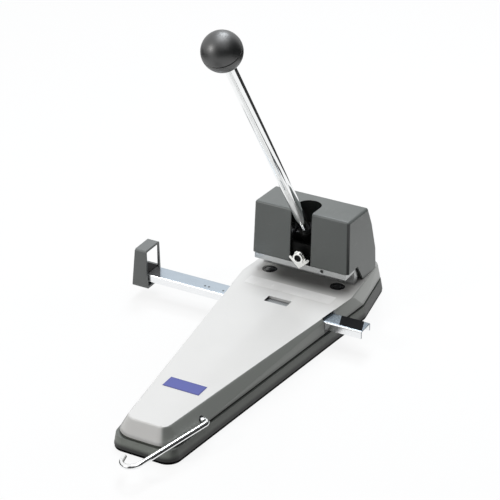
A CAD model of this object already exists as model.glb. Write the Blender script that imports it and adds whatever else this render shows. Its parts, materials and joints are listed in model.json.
import bpy
import json
import math
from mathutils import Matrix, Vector


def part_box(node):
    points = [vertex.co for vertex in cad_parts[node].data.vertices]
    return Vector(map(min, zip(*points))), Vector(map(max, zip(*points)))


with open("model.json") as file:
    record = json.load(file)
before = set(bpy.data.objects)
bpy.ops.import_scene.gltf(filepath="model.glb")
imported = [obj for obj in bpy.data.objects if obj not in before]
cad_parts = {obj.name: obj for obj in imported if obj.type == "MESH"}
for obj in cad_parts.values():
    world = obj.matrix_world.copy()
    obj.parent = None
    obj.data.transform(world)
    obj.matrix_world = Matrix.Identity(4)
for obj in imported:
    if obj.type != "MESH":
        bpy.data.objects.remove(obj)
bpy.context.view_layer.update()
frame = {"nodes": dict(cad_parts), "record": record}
nodes = frame["nodes"]
mm = 0.001
softEdge = 0.2 * mm  # width over which a painted border fades
print("frame loaded with", len(nodes), "nodes")


class Wire:  # a node socket that Python maths can use
    def __init__(self, tree, socket=None):
        self.tree = tree
        self.socket = socket

    def make(self, kind, settings, values, out=0):
        made = self.tree.nodes.new("ShaderNode" + kind)
        for key, value in settings.items():
            setattr(made, key, value)
        for key, value in values.items():
            self.feed(made.inputs[key], value)
        return Wire(self.tree, made.outputs[out])

    def feed(self, target, value):
        if isinstance(value, Wire):
            self.tree.links.new(value.socket, target)
        else:
            target.default_value = value

    def calc(self, operation, a, b=0.0):
        return self.make("Math", {"operation": operation}, {0: a, 1: b})

    def __add__(self, other):
        return self.calc("ADD", self, other)

    def __sub__(self, other):
        return self.calc("SUBTRACT", self, other)

    def __rsub__(self, other):
        return self.calc("SUBTRACT", other, self)

    def __mul__(self, other):
        return self.calc("MULTIPLY", self, other)

    __radd__ = __add__
    __rmul__ = __mul__

    def __neg__(self):
        return 0.0 - self

    def __abs__(self):
        return self.calc("ABSOLUTE", self)

    def fraction(self):
        return self.calc("FRACT", self)

    def most(self, other):
        return self.calc("MAXIMUM", self, other)

    def step(self, low, high):  # 0 below low, 1 above high, smooth between
        return self.make("MapRange", {"interpolation_type": "SMOOTHSTEP"},
                         {"Value": self, "From Min": low, "From Max": high})

    def band(self, low, high, fade):  # 1 between low and high
        return self.step(low, low + fade) * (1 - self.step(high, high + fade))

    def around(self, middle, spread):  # a noise, moved to vary about a middle value
        return middle + (self - 0.5) * spread

    def tint(self, first, second):  # colour between two colours, on the Mix node's colour sockets
        return self.make("Mix", {"data_type": "RGBA"}, {0: self, 6: first, 7: second}, 2)

    def shade(self, value):  # this colour times a value
        return self.make("Mix", {"data_type": "RGBA", "blend_type": "MULTIPLY"},
                         {0: 1.0, 6: self, 7: value}, 2)

    def parts(self):
        split = self.make("SeparateXYZ", {}, {0: self})
        return [Wire(self.tree, socket) for socket in split.socket.node.outputs]

    def noise(self, scale, detail=2.0, stretch=None):
        place = self
        if stretch:
            place = self.make("Mapping", {}, {"Vector": self, "Scale": stretch})
        return place.make("TexNoise", {}, {"Vector": place, "Scale": scale, "Detail": detail})

    def cells(self, scale):
        return self.make("TexVoronoi", {}, {"Vector": self, "Scale": scale})

    def far(self, point):  # distance of this place from a point
        return self.make("VectorMath", {"operation": "DISTANCE"}, {0: self, 1: point}, "Value")


def rgb(colour, share=1.0):
    return (*(min(1.0, c * share) for c in colour), 1.0)


class Finish:  # one material: its shader, its object coordinates and its facing
    def __init__(self, name, settings):
        self.material = bpy.data.materials.new(name)
        self.material.use_nodes = True
        tree = self.material.node_tree
        self.shader = tree.nodes["Principled BSDF"]
        self.wire = Wire(tree)
        self.place = self.wire.make("TexCoord", {}, {}, "Object")
        self.facing = self.wire.make("TexCoord", {}, {}, "Normal")
        for key in ("Metallic", "IOR", "Specular IOR Level"):
            if key in settings:
                self.shader.inputs[key].default_value = settings[key]
        self.material.diffuse_color = rgb(settings["colour"])

    def set(self, key, value):
        self.wire.feed(self.shader.inputs[key], value)

    def bump(self, height, depth, strength):
        values = {"Strength": strength, "Distance": depth, "Height": height}
        self.set("Normal", self.wire.make("Bump", {}, values, "Normal"))


# Cover paint: pale top, dark flanks, orange peel, faint mottling, dirt in the low places
coverPaint = {
    "colour": (0.8, 0.79, 0.772), "flank": (0.25, 0.26, 0.245), "back": (0.38, 0.39, 0.375),
    "right": (0.15, 0.5), "left": (0.62, 0.86), "rear": (0.42, 0.82), "turned": (0.0, 0.08),
    "rough": 0.34, "roughSpread": 0.06, "mottle": 38.0, "mottleTone": 0.03,
    "peel": 620.0, "depth": 0.12 * mm, "bump": 0.35, "foot": (0.0175, 0.021), "footDirt": 0.35,
    "level": (0.8, 0.95), "under": (-0.03, -0.008), "underMiddle": 0.012, "underHalf": (0.03, 0.065),
    "underShade": 0.72, "notchEdge": 0.0605, "notchEnds": (-0.068, -0.0454), "notchWall": (0.6, 0.9),
    "notchShade": 0.96}


def makeCoverPaint(s):
    f = Finish("coverPaint", s)
    nx, ny, nz = f.facing.parts()
    x, y, z = f.place.parts()
    flank = nx.step(*s["right"]).most((-nx).step(*s["left"])).most(ny.step(*s["rear"]))
    side = ny.step(*s["turned"]).tint(rgb(s["flank"]), rgb(s["back"]))
    tone = flank.tint(rgb(s["colour"]), side)
    mottle = f.place.noise(s["mottle"], detail=4.0)
    light = 1 - (1 - z.step(*s["foot"])) * s["footDirt"]
    middle = 1 - abs(x - s["underMiddle"]).step(*s["underHalf"])
    under = y.step(*s["under"]) * middle * nz.step(*s["level"])
    light = light * (1 - under * s["underShade"])  # settled grime under the head
    wall = abs(nx).step(*s["notchWall"]) * (1 - abs(x).step(s["notchEdge"], s["notchEdge"] + softEdge))
    gap = wall * y.band(*s["notchEnds"], softEdge)
    light = light * (1 - gap * s["notchShade"])  # unlit wall beside the bar
    f.set("Base Color", tone.shade(mottle.around(1.0, s["mottleTone"]) * light))
    f.set("Roughness", mottle.around(s["rough"], s["roughSpread"]))
    f.bump(f.place.noise(s["peel"], detail=1.5), s["depth"], s["bump"])
    return f.material


# Moulded and painted pieces: fine grain, mottling and rubbed streaks
moulded = {"mottleRange": (0.93, 1.08), "noiseShare": 0.6, "cellShare": 0.4, "cellScale": 0.7,
           "roughSpread": 0.14, "bump": 0.4, "shade": 0.94, "scuffScale": 5, "scuffStretch": (1.0, 0.25, 1.0),
           "scuff": (0.62, 0.75), "scuffLift": 0.1, "scuffPolish": 0.06}
bandPaint = {"colour": (0.12, 0.128, 0.116), "rough": 0.42, "peel": 480.0, "mottle": 60.0, "depth": 0.14 * mm,
             "foot": (0.0045, 0.0095), "rear": 0.75, "rearTurn": (0.0, 0.08), "dust": 1.0,
             "frontTurn": (0.6, 0.9)}
headPlastic = {"colour": (0.13, 0.14, 0.135), "rough": 0.34, "peel": 1500.0, "mottle": 45.0,
               "depth": 0.07 * mm, "slotHalf": 0.0124, "slotEnds": (-0.0055, 0.031), "sideFade": 0.3 * mm,
               "endFade": 1.0 * mm, "upright": (0.2, 0.5), "corner": (0.06, 0.3), "cornerTurn": (0.0, 0.1),
               "cornerShade": 0.7}
stopPlastic = {"colour": (0.17, 0.178, 0.176), "rough": 0.4, "peel": 1300.0, "mottle": 60.0,
               "depth": 0.07 * mm}
blackPlastic = {"colour": (0.005, 0.005, 0.006), "rough": 0.5, "Specular IOR Level": 0.08, "peel": 1200.0,
                "mottle": 70.0, "depth": 0.06 * mm}
knobPlastic = {"colour": (0.005, 0.006, 0.006), "rough": 0.42, "Specular IOR Level": 1.0, "IOR": 1.6,
               "peel": 900.0, "mottle": 50.0, "depth": 0.03 * mm}
discPlastic = {"colour": (0.008, 0.008, 0.009), "rough": 0.12, "Specular IOR Level": 0.25, "peel": 700.0,
               "mottle": 160.0, "depth": 0.02 * mm}
rubber = {"colour": (0.003, 0.003, 0.003), "rough": 0.8, "Specular IOR Level": 0.05, "peel": 900.0,
          "mottle": 120.0, "depth": 0.1 * mm}
labelFilm = {"colour": (0.88, 0.87, 0.855), "rough": 0.34, "peel": 620.0, "mottle": 60.0, "depth": 0.03 * mm}


def bandShade(f, s):  # dark foot just above the mat, darker rear sides, dusty front
    ny = f.facing.parts()[1]
    wall = f.place.parts()[2].step(*s["foot"])
    dark = (1 - wall).most(ny.step(*s["rearTurn"]) * s["rear"])
    return dark - (-ny).step(*s["frontTurn"]) * wall * s["dust"]


def slotShade(f, s):  # unlit walls of the lever slot, and the dark corner between front and right side
    x, y, z = f.place.parts()
    nx, ny, nz = f.facing.parts()
    upright = 1 - abs(nz).step(*s["upright"])
    inside = 1 - abs(x).step(s["slotHalf"], s["slotHalf"] + s["sideFade"])
    corner = (-(nx * ny)).step(*s["corner"]) * nx.step(*s["cornerTurn"]) * s["cornerShade"]
    return upright * (inside * y.band(*s["slotEnds"], s["endFade"])).most(corner)


def makeMoulded(name, s, shade=None):
    s = {**moulded, **s}
    f = Finish(name, s)
    mottle = f.place.noise(s["mottle"], detail=4.0)
    cells = f.place.cells(s["peel"] * s["cellScale"])
    grain = f.place.noise(s["peel"], detail=3.0) * s["noiseShare"] + cells * s["cellShare"]
    scuff = f.place.noise(s["mottle"] * s["scuffScale"], 5.0, s["scuffStretch"]).step(*s["scuff"])
    lift = 1 + scuff * s["scuffLift"]
    if shade:
        lift = lift * (1 - shade(f, s) * s["shade"])
    dark, light = (rgb(s["colour"], share) for share in s["mottleRange"])
    f.set("Base Color", mottle.tint(dark, light).shade(lift))
    f.set("Roughness", grain.around(s["rough"], s["roughSpread"]) - scuff * s["scuffPolish"])
    f.bump(grain, s["depth"], s["bump"])
    return f.material


# Joint strip: dusty where it faces the front, black along its top and sides
jointRubber = {"colour": (0.002, 0.003, 0.002), "front": (0.17, 0.18, 0.16), "frontTurn": (0.55, 0.9),
               "line": (0.0159, 0.0163), "rough": 0.7, "roughSpread": 0.14, "Specular IOR Level": 0.05,
               "peel": 900.0, "grainTone": 0.2, "depth": 0.1 * mm, "bump": 0.4}


def makeJointRubber(s):
    f = Finish("jointRubber", s)
    front = (-f.facing.parts()[1]).step(*s["frontTurn"]) * (1 - f.place.parts()[2].step(*s["line"]))
    grain = f.place.noise(s["peel"], detail=3.0)
    tone = front.tint(rgb(s["colour"]), rgb(s["front"]))
    f.set("Base Color", tone.shade(grain.around(1.0, s["grainTone"])))
    f.set("Roughness", grain.around(s["rough"], s["roughSpread"]))
    f.bump(grain, s["depth"], s["bump"])
    return f.material


# Metals: streaks along the drawing or grinding direction, and clouded handling marks
metal = {"Metallic": 1.0, "streakScale": 12.0, "streakTone": 0.12, "cloud": 55.0, "cloudRange": (0.9, 1.06),
         "roughSpread": 0.12, "cloudShare": 0.6, "depth": 0.02 * mm, "bump": 0.25}
frameSteel = {"colour": (0.48, 0.49, 0.49), "rough": 0.33, "streak": (3.0, 160.0, 160.0)}
innerSteel = {"colour": (0.5, 0.51, 0.52), "rough": 0.36, "streak": (4.0, 120.0, 120.0)}
groundSteel = {"colour": (0.68, 0.69, 0.7), "rough": 0.22, "streak": (120.0, 120.0, 4.0)}
nickel = {"colour": (0.92, 0.92, 0.9), "rough": 0.17, "streak": (60.0, 60.0, 60.0)}
chrome = {"colour": (0.93, 0.94, 0.94), "rough": 0.06, "roughSpread": 0.05, "streak": (40.0, 40.0, 40.0)}
blackIron = {"colour": (0.004, 0.004, 0.004), "Metallic": 0.0, "Specular IOR Level": 0.1, "rough": 0.45,
             "streak": (30.0, 30.0, 30.0)}
dullSteel = {"colour": (0.05, 0.052, 0.052), "rough": 0.45, "streak": (60.0, 60.0, 60.0)}
bushSteel = {"colour": (0.24, 0.245, 0.25), "rough": 0.35, "streak": (120.0, 120.0, 4.0)}
bronze = {"colour": (0.52, 0.36, 0.16), "rough": 0.34, "streak": (90.0, 60.0, 60.0)}


def makeMetal(name, s):
    s = {**metal, **s}
    f = Finish(name, s)
    streak = f.place.noise(s["streakScale"], 3.0, s["streak"])
    cloud = f.place.noise(s["cloud"], detail=4.0)
    dark, light = (rgb(s["colour"], share) for share in s["cloudRange"])
    f.set("Base Color", cloud.tint(dark, light).shade(streak.around(1.0, s["streakTone"])))
    rough = streak.around(s["rough"], s["roughSpread"])
    f.set("Roughness", cloud.around(rough, s["roughSpread"] * s["cloudShare"]))
    f.bump(streak, s["depth"], s["bump"])
    return f.material


# Screw head: bright rim round a dark socket
screwHead = {"colour": (0.92, 0.92, 0.9), "socket": (0.02, 0.02, 0.021), "Metallic": 1.0,
             "edge": (3.75 * mm, 4.05 * mm), "cloud": 300.0, "tone": 0.98, "cloudTone": 0.12,
             "rough": 0.2, "roughSpread": 0.1, "socketRough": 0.3, "depth": 0.02 * mm, "bump": 0.25}


def makeScrewHead(s):
    f = Finish("screwHead", s)
    low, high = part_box("stop_screw")
    rim = f.place.far((0.0, low.y, (low.z + high.z) / 2)).step(*s["edge"])
    cloud = f.place.noise(s["cloud"], detail=3.0)
    tone = rim.tint(rgb(s["socket"]), rgb(s["colour"]))
    f.set("Base Color", tone.shade(cloud.around(s["tone"], s["cloudTone"])))
    f.set("Roughness", cloud.around(s["rough"], s["roughSpread"]) + (1 - rim) * s["socketRough"])
    f.bump(cloud, s["depth"], s["bump"])
    return f.material


# Blue plate, a little darker along its border
plateFilm = {"colour": (0.1, 0.118, 0.39), "border": (0.07, 0.08, 0.3), "inset": 0.9 * mm, "rough": 0.42,
             "roughSpread": 0.12, "Specular IOR Level": 0.3, "mottle": 90.0, "mottleTone": 0.12,
             "grain": 700.0, "depth": 0.04 * mm, "bump": 0.3}


def makePlateFilm(s):
    f = Finish("plateFilm", s)
    low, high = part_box("front_plate")
    middle, half = (low + high) / 2, (high - low) / 2
    x, y, z = f.place.parts()
    edge = (abs(x - middle.x) - half.x).most(abs(y - middle.y) - half.y)
    border = (edge + s["inset"]).step(-softEdge, softEdge)
    mottle = f.place.noise(s["mottle"], detail=3.0)
    tone = border.tint(rgb(s["colour"]), rgb(s["border"]))
    f.set("Base Color", tone.shade(mottle.around(1.0, s["mottleTone"])))
    f.set("Roughness", mottle.around(s["rough"], s["roughSpread"]))
    f.bump(f.place.noise(s["grain"]), s["depth"], s["bump"])
    return f.material


# Zinc bar: dull bluish top, bright front flange, punched marks, dark film beside the paper stop,
# printed scale under the window, speckled end
barZinc = {
    "colour": (0.42, 0.48, 0.54), "flange": (0.9, 0.91, 0.92), "flangeTurn": (0.3, 0.8), "flangePolish": 0.12,
    "dark": (0.02, 0.02, 0.022), "print": (0.38, 0.39, 0.4), "ink": (0.06, 0.06, 0.065), "level": (0.6, 0.9),
    "marks": ((-84.7, -60.0, 1.3), (-80.0, -60.0, 1.3), (-62.9, -60.0, 1.2), (10.6, -61.0, 1.7)),
    "markFade": (-0.25, 0.1), "markRough": 0.3, "filmSlope": 0.6, "filmEdge": -0.1755, "filmFade": 0.3 * mm,
    "scale": (-47.0 * mm, 12.0 * mm), "ticks": 500.0, "tickWidth": (0.32, 0.38),
    "end": (0.059, 0.062), "speckle": 900.0, "speckleStep": (0.42, 0.62), "speckleShade": 0.55,
    "speckleRough": 0.2, "streakScale": 12.0, "streak": (3.0, 140.0, 140.0), "streakTone": 0.12,
    "cloud": 55.0, "cloudTone": 0.08, "rough": 0.3, "roughSpread": 0.12, "depth": 0.02 * mm, "bump": 0.25}


def makeBarZinc(s):
    f = Finish("barZinc", s)
    nx, ny, nz = f.facing.parts()
    x, y, z = f.place.parts()
    low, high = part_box("guide_bar")
    flange = (-ny).step(*s["flangeTurn"])
    top = nz.step(*s["level"])
    streak = f.place.noise(s["streakScale"], 3.0, s["streak"])
    cloud = f.place.noise(s["cloud"], detail=4.0)
    printed = top * x.band(*s["scale"], softEdge)
    middle = (low.y + high.y) / 2
    tick = abs((x * s["ticks"]).fraction() - 0.5).step(*s["tickWidth"]) * y.step(middle, middle + softEdge)
    speckle = f.place.noise(s["speckle"]).step(*s["speckleStep"]) * top * x.step(*s["end"])
    film = 1 - (x + y * s["filmSlope"]).step(s["filmEdge"], s["filmEdge"] + s["filmFade"])
    mark = film * top
    for markX, markY, radius in s["marks"]:
        distance = f.place.far((markX * mm, markY * mm, high.z))
        mark = mark.most(1 - distance.step(*((radius + fade) * mm for fade in s["markFade"])))
    tone = flange.tint(rgb(s["colour"]), rgb(s["flange"]))
    tone = printed.tint(tone, tick.tint(rgb(s["print"]), rgb(s["ink"])))
    tone = mark.tint(tone.shade(1 - speckle * s["speckleShade"]), rgb(s["dark"]))
    f.set("Base Color", tone.shade(cloud.around(streak.around(1.0, s["streakTone"]), s["cloudTone"])))
    f.set("Metallic", (1 - printed) * (1 - mark))
    rough = streak.around(s["rough"], s["roughSpread"]) - flange * s["flangePolish"]
    f.set("Roughness", rough + speckle * s["speckleRough"] + mark * s["markRough"])
    f.bump(streak, s["depth"], s["bump"])
    return f.material


# One finish for each slot of the record, and finishes of their own for a few nodes
finishes = {
    "light_paint": makeCoverPaint(coverPaint),
    "band_paint": makeMoulded("bandPaint", bandPaint, bandShade),
    "head_plastic": makeMoulded("headPlastic", headPlastic, slotShade),
    "stop_plastic": makeMoulded("stopPlastic", stopPlastic),
    "black_plastic": makeMoulded("blackPlastic", blackPlastic),
    "knob_plastic": makeMoulded("knobPlastic", knobPlastic),
    "disc_plastic": makeMoulded("discPlastic", discPlastic),
    "rubber": makeMoulded("rubber", rubber),
    "white_label": makeMoulded("labelFilm", labelFilm),
    "blue_plate": makePlateFilm(plateFilm),
    "zinc": makeBarZinc(barZinc),
    "grey_steel": makeMetal("frameSteel", frameSteel),
    "steel": makeMetal("innerSteel", innerSteel),
    "bright_steel": makeMetal("groundSteel", groundSteel),
    "nickel": makeMetal("nickel", nickel),
    "chrome": makeMetal("chrome", chrome),
    "black_iron": makeMetal("blackIron", blackIron),
    "bronze": makeMetal("bronze", bronze)}
bladeBush = makeMetal("bushSteel", bushSteel)
own = {"joint_strip": makeJointRubber(jointRubber), "stop_screw": makeScrewHead(screwHead),
       "hook_bush": makeMetal("dullSteel", dullSteel), "blade_bush_left": bladeBush,
       "blade_bush_right": bladeBush}
slotOf = {part["node"]: part["material_slot"] for part in frame["record"]["subparts"]}
for name, node in nodes.items():
    node.data.materials.clear()
    node.data.materials.append(own.get(name, finishes[slotOf[name]]))
print("finishes made:", len(finishes))


# Edge rounding on the CAD nodes: width in mm, segments
edges = {"plain": (0.25, 2), "head_cover": (0.5, 2), "base_cover": (0.5, 2), "base_plate": (0.8, 3),
         "rubber_mat": (0.5, 2), "paper_stop": (0.7, 3), "head_frame": (0.6, 2), "stop_bracket": (0.5, 2),
         "guide_bar": (0.4, 2), "lever_stop": (0.3, 2), "knob_ball": (0.4, 3), "knob_cap": (0.4, 3),
         "chip_drawer": (0.5, 2), "bar_end_cap": (0.2, 2), "stop_block": (0.4, 2)}
smoothOnly = ("lever_rod", "lever_hook", "pinion_left", "pinion_right", "rack_left", "rack_right",
              "paper_label", "front_plate", "joint_strip", "bar_spring")
rounding = {"weldGap": 0.002 * mm, "flatAngle": 0.4, "bevelAngle": 34, "splitAngle": 32}  # angles in degrees


def roundEdges(name, node, s):
    node.data.shade_smooth()
    weld = node.modifiers.new("weld", "WELD")
    weld.merge_threshold = s["weldGap"]
    if name not in smoothOnly:
        width, segments = edges.get(name, edges["plain"])
        flat = node.modifiers.new("flat", "DECIMATE")
        flat.decimate_type = "DISSOLVE"
        flat.angle_limit = math.radians(s["flatAngle"])
        bevel = node.modifiers.new("edges", "BEVEL")
        bevel.width = width * mm
        bevel.segments = segments
        bevel.limit_method = "ANGLE"
        bevel.angle_limit = math.radians(s["bevelAngle"])
        bevel.use_clamp_overlap = True
    split = node.modifiers.new("split", "EDGE_SPLIT")
    split.split_angle = math.radians(s["splitAngle"])
    normals = node.modifiers.new("normals", "WEIGHTED_NORMAL")
    normals.keep_sharp = True


for name, node in nodes.items():
    roundEdges(name, node, rounding)
print("edges rounded")


# Camera at the photograph's view
camera = {"at": (0.8778, -1.7181, 1.0972), "turn": (61.88, 0.0, 28.73), "lens": 150.8, "sensor": 36.0}


def addCamera(s):
    data = bpy.data.cameras.new("camera")
    data.lens = s["lens"]
    data.sensor_width = s["sensor"]
    made = bpy.data.objects.new("camera", data)
    made.location = s["at"]
    made.rotation_euler = [math.radians(a) for a in s["turn"]]
    bpy.context.scene.collection.objects.link(made)
    bpy.context.scene.camera = made


# Lamps: soft panels, aimed at the middle of the machine; glint says whether gloss shows them
lamps = {
    "top": {"at": (-0.4, 0.95, 1.9), "size": (0.7, 0.5), "power": 17.0, "colour": (0.91, 0.955, 1.0),
            "glint": True},
    "over": {"at": (-0.1, 0.1, 2.1), "size": (1.2, 1.2), "power": 18.0, "colour": (0.95, 0.975, 1.0),
             "glint": True},
    "left": {"at": (-0.67, -0.99, 0.79), "size": (0.24, 0.24), "power": 3.4, "colour": (1.0, 0.99, 0.97),
             "glint": True},
    "rear": {"at": (0.66, 0.55, 0.36), "size": (0.4, 0.4), "power": 1.7, "colour": (1.0, 1.0, 0.98),
             "glint": False}}
aim = Vector((0.0, -0.1, 0.06))


def addLamp(name, s):
    data = bpy.data.lights.new(name, "AREA")
    data.shape = "RECTANGLE"
    data.size, data.size_y = s["size"]
    data.energy = s["power"]
    data.color = s["colour"]
    made = bpy.data.objects.new(name, data)
    made.location = s["at"]
    made.visible_camera = False
    made.visible_glossy = s["glint"]
    made.rotation_euler = (aim - Vector(s["at"])).to_track_quat("-Z", "Y").to_euler()
    bpy.context.scene.collection.objects.link(made)


# White surroundings, seen directly and in metal; softer for the light that falls on the machine
surround = {"light": 0.24, "floor": (0.5, 0.5, 0.49), "paper": (0.97, 0.97, 0.97), "white": 0.86,
            "reach": 6.0}


def seen(wire):  # 1 for rays that show the background
    names = ("Is Camera Ray", "Is Glossy Ray", "Is Transmission Ray")
    rays = [wire.make("LightPath", {}, {}, name) for name in names]
    return rays[0].most(rays[1]).most(rays[2])


def addSurround(s):
    world = bpy.data.worlds.new("studio")
    world.use_nodes = True
    bpy.context.scene.world = world
    wire = Wire(world.node_tree)
    back = world.node_tree.nodes["Background"]
    back.inputs["Color"].default_value = (1, 1, 1, 1)
    wire.feed(back.inputs["Strength"], seen(wire) * (1 - s["light"]) + s["light"])
    mesh = bpy.data.meshes.new("floor")
    r = s["reach"]
    mesh.from_pydata([(-r, -r, 0), (r, -r, 0), (r, r, 0), (-r, r, 0)], [], [(0, 1, 2, 3)])
    floor = bpy.data.objects.new("floor", mesh)
    bpy.context.scene.collection.objects.link(floor)
    material = bpy.data.materials.new("floorPaper")
    material.use_nodes = True
    tree = material.node_tree
    tree.nodes.clear()
    wire = Wire(tree)
    tone = seen(wire).tint(rgb(s["floor"]), rgb(s["paper"]))
    paper = wire.make("BsdfDiffuse", {}, {"Color": tone})
    white = wire.make("Emission", {}, {"Color": (1, 1, 1, 1), "Strength": 1.0})
    mixed = wire.make("MixShader", {}, {0: seen(wire) * s["white"], 1: paper, 2: white})
    tree.links.new(mixed.socket, tree.nodes.new("ShaderNodeOutputMaterial").inputs["Surface"])
    mesh.materials.append(material)


# Dark cards that only gloss shows: dark stripes for the rod and the hook, dark sides for the knob and the
# cover's flank, and a dark line for the hook's curl; lean moves the foot of a card towards the front
darkCards = {"rodCard": {"from": (-0.15, 0.53), "to": (0.36, 0.165), "high": 0.3},
             "hookCard": {"from": (0.42, 0.62), "to": (0.95, -0.25), "high": 1.7},
             "flankCard": {"from": (0.062, -0.34), "to": (0.125, 0.02), "high": 0.05},
             "frontCard": {"from": (-0.5, -2.4), "to": (2.6, -2.4), "high": 2.6},
             "rightCard": {"from": (2.6, -2.4), "to": (2.6, 0.6), "high": 2.6},
             "leftCard": {"from": (-0.7, -1.0), "to": (-0.7, 0.1), "high": 0.28},
             "curlCard": {"from": (-0.08, -0.41), "to": (0.1, -0.41), "high": 0.003, "lean": 0.16}}
cardLook = {"colour": (0.005, 0.005, 0.005), "foot": 1.0 * mm}


def addCard(name, s, look):
    (x0, y0), (x1, y1) = s["from"], s["to"]
    lean, foot, high = s.get("lean", 0.0), look["foot"], s["high"]
    corners = [(x0, y0 - lean, foot), (x1, y1 - lean, foot), (x1, y1, high), (x0, y0, high)]
    mesh = bpy.data.meshes.new(name)
    mesh.from_pydata(corners, [], [(0, 1, 2, 3)])
    card = bpy.data.objects.new(name, mesh)
    bpy.context.scene.collection.objects.link(card)
    material = bpy.data.materials.new(name)
    material.use_nodes = True
    material.node_tree.nodes["Principled BSDF"].inputs["Base Color"].default_value = rgb(look["colour"])
    mesh.materials.append(material)
    card.visible_camera = False
    card.visible_diffuse = False
    card.visible_shadow = False


addCamera(camera)
for name, s in lamps.items():
    addLamp(name, s)
addSurround(surround)
for name, s in darkCards.items():
    addCard(name, s, cardLook)
bpy.context.scene.view_settings.view_transform = "Standard"
print("stage set")
